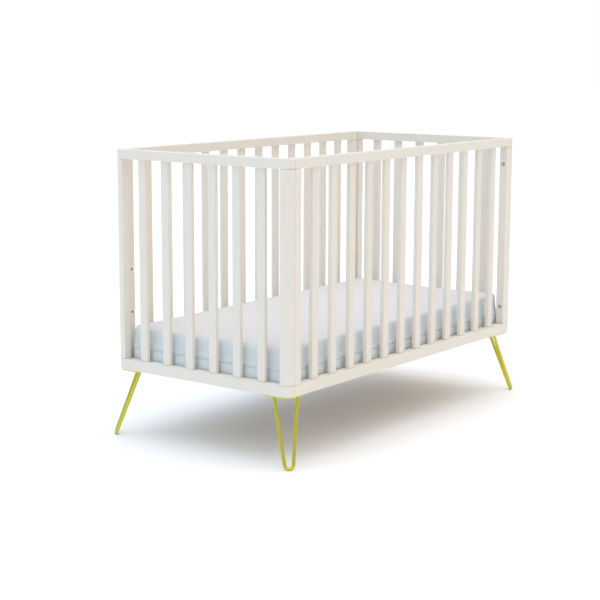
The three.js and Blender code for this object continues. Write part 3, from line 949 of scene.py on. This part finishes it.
def knitted_cotton():
    """A close fuzzy knit, one fabric all round, with painted light: warm white painted on top and
    pale blue-grey painted round the sides.
    """
    finish = Finish("knitted_cotton")
    scaled = finish.place((2400, 2400, 2400))
    x, y, z = [part.sine() for part in finish.split(scaled)]
    u, v, w = finish.split(finish.add("ShaderNodeTexCoord", output="Normal"))
    loops = w * w * x * y + u * u * y * z + v * v * x * z
    slub = finish.noise(finish.place((1, 1, 4)), 160, 4)
    hollow = finish.noise(finish.place(), 14, 3)
    fuzz = finish.noise(finish.place(), 700, 3)
    # Painted light: the colour turns from the sides' painted cool tone to the top's painted warm tone
    # as the surface turns to face up.
    painted_light_by_facing = finish.ramp(w * w, (0.4, 0.0), (0.6, 1.0))
    cotton = finish.mix(painted_light_by_facing, COTTON_SIDE_PAINTED_COOL, COTTON_TOP_PAINTED_WARM)
    tone = finish.mix(hollow * 0.5, cotton, COTTON_SHADE)
    tone = finish.mix(0.5 + 0.5 * loops, finish.mix(slub * 0.4, tone, COTTON_SLUB), tone)
    skin = finish.bump(loops * 0.7 + fuzz * 0.5, 0.00012, finish.bump(hollow, 0.0012))
    return finish.shade(tone, 0.82 + 0.1 * fuzz, skin, Sheen_Weight=0.25, Sheen_Roughness=0.5)


low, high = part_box("mattress")
zip_z = low.z + ZIP_RISE
cover = stuffed_cover(low, high, zip_z)
draw_in(cover, zip_z - GROOVE_DROP)
install(cover, "mattress", knitted_cotton(), "mattress_cotton", "mattress")


# ---------------------------------------------------------------- Zip of the mattress cover
# A white nylon zip runs all round: a woven tape that is sewn to both halves of the cover, the
# coil's teeth along its middle, and one slider with its puller at the foot end.
TAPE_HALF = 0.0042
TAPE_PROUD = 0.0006
TAPE_SUNK = 0.0006
TAPE_EDGE = 0.0003
COIL_LIFT = 0.0006
TOOTH_PITCH = 0.0017
TOOTH = (0.0011, 0.0016, 0.0040)
STITCH_PITCH = 0.0032
STITCH = (0.0022, 0.0005, 0.0005)
STITCH_RISE = 0.0032
CAST_CLEAR = 0.02
SLIDER_Y = 0.20
SLIDER_LIFT = 0.0022
SLIDER_FACE = 0.0012
SLIDER_EDGE = 0.0005
PULL_BACK = 0.0014
PULL_FACE = 0.0026
PULL_EDGE = 0.0004
RING_STEP = 0.006


def ring_on_cover(height, lift):
    """A ring of points on the cover's sides at a height, lifted off them, with their directions."""
    graph = bpy.context.evaluated_depsgraph_get()
    surface = BVHTree.FromObject(cover, graph)
    half = (high - low) / 2
    found = []
    reach = half + Vector((CAST_CLEAR, CAST_CLEAR, 0))
    for point, out in ring(reach.x, reach.y, MATTRESS_CORNER + CAST_CLEAR, RING_STEP):
        spot, way = Vector((*point, height)), Vector((*out, 0))
        hit = surface.ray_cast(spot, -way)[0]
        found.append((hit + way * lift, way))
    return found


def band(name, points, section):
    """A closed band with one (out, up) section, swept round the ring of points."""
    shape = bmesh.new()
    rings = [[shape.verts.new(spot + way * out + Vector((0, 0, up))) for out, up in section]
             for spot, way in points]
    for here, there in zip(rings, rings[1:] + rings[:1]):
        for i in range(len(section)):
            shape.faces.new((here[i - 1], here[i], there[i], there[i - 1]))
    bmesh.ops.recalc_face_normals(shape, faces=shape.faces)
    return solid(name, shape)


def sewn_along_recipe():
    """The shape again and again along the carrier's line, its X along the line and its Z up."""
    recipe = Recipe("sewn_along", Shape="Object", Pitch="Float")
    line = recipe.add("GeometryNodeMeshToCurve", {}, {"Mesh": recipe.given("Geometry")})
    sockets = {"Curve": line, "Length": recipe.given("Pitch")}
    even = recipe.add("GeometryNodeResampleCurve", {"mode": "LENGTH"}, sockets)
    along = {"Vector": recipe.add("GeometryNodeInputTangent")}
    turn = recipe.add("FunctionNodeAlignRotationToVector", {"axis": "X", "pivot_axis": "Z"}, along)
    shape = recipe.add("GeometryNodeObjectInfo", {}, {"Object": recipe.given("Shape")}, "Geometry")
    sockets = {"Points": even, "Instance": shape, "Rotation": turn}
    recipe.end(recipe.add("GeometryNodeInstanceOnPoints", {}, sockets))
    return recipe


sewn_along = sewn_along_recipe()


def sewn_round(name, points, size, pitch):
    """Small eased blocks of a size, at a pitch, round the ring of points."""
    wire = bmesh.new()
    knots = [wire.verts.new(spot) for spot, _ in points]
    for here, there in zip(knots, knots[1:] + knots[:1]):
        wire.edges.new((here, there))
    half = Vector(size) / 2
    block = prism("block", [rectangle(-half, half)], -half.z, half.z, min(size) * 0.3, steps=1)
    row = sewn_along.make(name, solid(name, wire), Shape=block, Pitch=pitch)
    bpy.data.objects.remove(block)
    return row


def nylon(name, tone, dark):
    finish = Finish(name)
    ribs = finish.noise(finish.place(), 1500, 2)
    mixed = finish.mix(ribs, tone, dark)
    return finish.shade(mixed, 0.42 + 0.2 * ribs, finish.bump(ribs, 0.00005))


white_nylon = nylon("white_nylon", (0.80, 0.85, 0.86), (0.72, 0.77, 0.79))
face_half = TAPE_HALF - TAPE_EDGE
tape_section = [(-TAPE_SUNK, -TAPE_HALF), (TAPE_PROUD, -face_half), (TAPE_PROUD, face_half),
                (-TAPE_SUNK, TAPE_HALF)]
tape = band("zip_tape", ring_on_cover(zip_z, 0), tape_section)
install(tape, "mattress", white_nylon, "mattress_cotton")
coil = sewn_round("zip_coil", ring_on_cover(zip_z, TAPE_PROUD + COIL_LIFT), TOOTH, TOOTH_PITCH)
install(coil, "mattress", white_nylon, "mattress_cotton")
for level, side in (("upper", 1), ("lower", -1)):
    up = Vector((0, 0, side * STITCH_RISE))
    line = [(spot + up, way) for spot, way in ring_on_cover(zip_z, TAPE_PROUD)]
    stitches = sewn_round(f"zip_stitches_{level}", line, STITCH, STITCH_PITCH)
    install(stitches, "mattress", white_nylon, "mattress_cotton")

slider_x = max(spot.x for spot, _ in ring_on_cover(zip_z, TAPE_PROUD + SLIDER_LIFT))
body = [(-0.005, -0.0032), (0.0045, -0.0042), (0.006, -0.002),
        (0.006, 0.002), (0.0045, 0.0042), (-0.005, 0.0032)]
tab = [(-0.0025, -0.003), (-0.003, -0.022), (0, -0.0245), (0.003, -0.022), (0.0025, -0.003), (0, 0)]
facing_foot = Matrix(((0, 0, 1, slider_x), (1, 0, 0, SLIDER_Y), (0, 1, 0, zip_z), (0, 0, 0, 1)))
slider = prism("zip_slider", [body], -SLIDER_LIFT, SLIDER_FACE, SLIDER_EDGE, facing_foot)
install(slider, "mattress", zinc, None)
pull = prism("zip_pull", [tab], PULL_BACK, PULL_FACE, PULL_EDGE, facing_foot)
install(pull, "mattress", zinc, None)


# ---------------------------------------------------------------- Floor, light and camera
# The cot stands on a plain white floor in a white room, whose ceiling is brighter than its walls.
# The room is a little cool on the camera's left and a little warm on its right.
FLOOR_RADIUS = 40
WALL_LIGHT = 0.41
CEILING_LIGHT = 1.54
COOL = (0.86, 1.09, 1.35)
WARM = (1.08, 0.91, 0.74)
TOWARDS_WARM = (0.6, -0.8)
CAMERA_PLACE = (-3.795, -2.729, 1.160)
CAMERA_HEADING = 53.24
CAMERA_DIP = 9.70
CAMERA_TILT = -0.18
CAMERA_LENS = 88.8
scene = bpy.context.scene
scene.view_settings.view_transform = "Standard"


def white_floor():
    finish = Finish("white_floor")
    mottle = finish.noise(finish.place(), 1.5, 3)
    tone = finish.mix(mottle, (0.97, 0.97, 0.97), (0.98, 0.98, 0.98))
    return finish.shade(tone, 0.86 + 0.06 * mottle, finish.bump(mottle, 0.0001))


def softbox(name, place, aim, size, power, tint):
    light = bpy.data.lights.new(name, "AREA")
    light.shape = "DISK"
    light.size = size
    light.energy = power
    light.color = tint
    lamp = bpy.data.objects.new(name, light)
    lamp.location = place
    lamp.rotation_euler = (Vector(aim) - Vector(place)).to_track_quat("-Z", "Y").to_euler()
    scene.collection.objects.link(lamp)


def white_room():
    """Light from all round. What shows of it beyond the floor is plain white."""
    scene.world = bpy.data.worlds.new("white_room")
    scene.world.use_nodes = True
    room = Tree(scene.world.node_tree)
    x, y, z = room.split(room.add("ShaderNodeTexCoord", output="Generated"))
    side = 0.5 + 0.5 * (TOWARDS_WARM[0] * x + TOWARDS_WARM[1] * y)
    up = z.maths("MAXIMUM", z)
    level = WALL_LIGHT + CEILING_LIGHT * up * up
    seen = room.add("ShaderNodeLightPath", output="Is Camera Ray")
    tone = room.mix(seen, room.mix(side, COOL, WARM), (1, 1, 1))
    sockets = {"Color": tone, "Strength": seen + (1.0 - seen) * level}
    glow = room.add("ShaderNodeBackground", {}, sockets)
    room.add("ShaderNodeOutputWorld", {}, {"Surface": glow})


def studio_camera():
    data = bpy.data.cameras.new("studio_camera")
    data.lens = CAMERA_LENS
    data.sensor_width = 36
    data.clip_end = 200
    camera = bpy.data.objects.new("studio_camera", data)
    heading = Matrix.Rotation(math.radians(-CAMERA_HEADING), 4, "Z")
    dip = Matrix.Rotation(math.radians(90 - CAMERA_DIP), 4, "X")
    tilt = Matrix.Rotation(math.radians(-CAMERA_TILT), 4, "Z")
    camera.matrix_world = Matrix.Translation(CAMERA_PLACE) @ heading @ dip @ tilt
    scene.collection.objects.link(camera)
    scene.camera = camera


def floor_disc():
    shape = bmesh.new()
    bmesh.ops.create_circle(shape, cap_ends=True, segments=64, radius=FLOOR_RADIUS)
    floor = solid("floor", shape)
    floor.data.materials.append(white_floor())


studio_camera()
floor_disc()
white_room()
softbox("overhead_softbox", (0.2, -0.5, 3.2), (0, 0, 0), 3.0, 10, (1.0, 1.0, 1.0))
